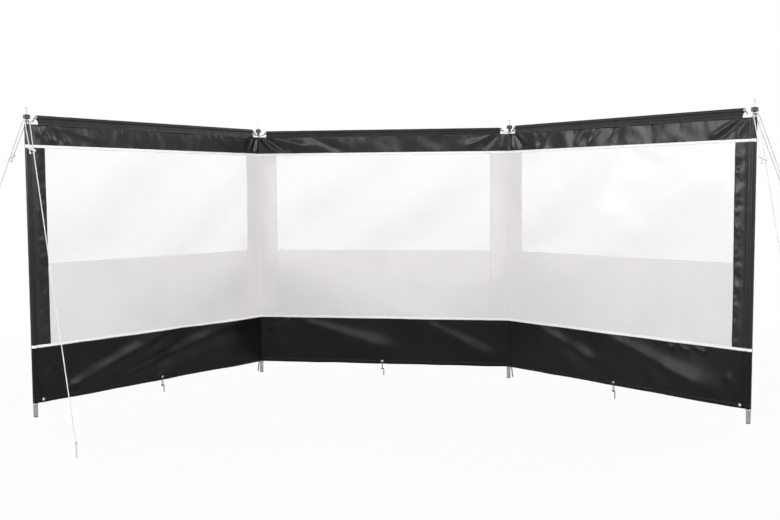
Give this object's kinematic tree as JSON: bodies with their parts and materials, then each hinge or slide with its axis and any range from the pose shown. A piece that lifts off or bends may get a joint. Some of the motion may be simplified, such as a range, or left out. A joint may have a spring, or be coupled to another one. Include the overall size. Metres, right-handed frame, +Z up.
{
  "type": "beach windbreak",
  "caption": "Camping windbreak of black and light grey cloth bays with clear windows, on steel poles with top rails, guy ropes and hooked pegs.",
  "frame": {"origin": "centre of the foot of the inner left pole, on the ground", "axes": "+X along the middle bay to the inner right pole, +Z up, -Y to the sheltered side that the side bays turn towards"},
  "size_m": [4.8994, 1.9911, 1.506],
  "materials": {
    "black_cloth": "black coated polyester cloth with a soft gloss",
    "light_cloth": "light grey coated polyester cloth, satin",
    "white_piping": "white binding tape, matt",
    "clear_film": "clear soft PVC film, glossy",
    "galvanised_tube": "galvanised steel tube, dull",
    "bright_steel": "bright zinc plated steel",
    "black_plastic": "moulded black nylon",
    "white_rope": "braided white polyester rope",
    "white_plastic": "moulded white plastic",
    "zinc_pegs": "zinc plated steel rod",
    "dark_pegs": "black lacquered steel rod",
    "black_rubber": "moulded black rubber",
    "nickel_eyelets": "pressed nickel plated brass",
    "grey_webbing": "light grey woven webbing"
  },
  "bodies": {
    "root": {"bottom_band_left": "black_cloth", "bottom_band_middle": "black_cloth", "bottom_band_right": "black_cloth", "corner_pegs": "dark_pegs", "end_strip_left": "black_cloth", "end_strip_right": "black_cloth", "eyelets": "nickel_eyelets", "foot_plug_1": "black_plastic", "foot_plug_2": "black_plastic", "foot_plug_3": "black_plastic", "foot_plug_4": "black_plastic", "ground_pegs": "dark_pegs", "guy_rope_left_back": "white_rope", "guy_rope_left_front": "white_rope", "guy_rope_right_back": "white_rope", "guy_rope_right_front": "white_rope", "guy_stakes": "zinc_pegs", "inner_strip_left": "light_cloth", "inner_strip_right": "light_cloth", "knob_1": "black_plastic", "knob_2": "black_plastic", "knob_3": "black_plastic", "knob_4": "black_plastic", "light_band_left": "light_cloth", "light_band_middle": "light_cloth", "light_band_right": "light_cloth", "lower_piping_left": "white_piping", "lower_piping_middle": "white_piping", "lower_piping_right": "white_piping", "pole_1": "galvanised_tube", "pole_2": "galvanised_tube", "pole_3": "galvanised_tube", "pole_4": "galvanised_tube", "pole_pocket_1": "black_cloth", "pole_pocket_2": "black_cloth", "pole_pocket_3": "black_cloth", "pole_pocket_4": "black_cloth", "rail_left": "bright_steel", "rail_middle": "bright_steel", "rail_right": "bright_steel", "rail_sleeve_left": "black_cloth", "rail_sleeve_middle": "black_cloth", "rail_sleeve_right": "black_cloth", "rope_sliders": "white_plastic", "rubber_loops": "black_rubber", "spike_1": "bright_steel", "spike_2": "bright_steel", "spike_3": "bright_steel", "spike_4": "bright_steel", "top_band_left": "black_cloth", "top_band_middle": "black_cloth", "top_band_right": "black_cloth", "upper_piping_left": "white_piping", "upper_piping_middle": "white_piping", "upper_piping_right": "white_piping", "webbing_loops": "grey_webbing", "window_left": "clear_film", "window_middle": "clear_film", "window_right": "clear_film"}
  },
  "joints": []
}
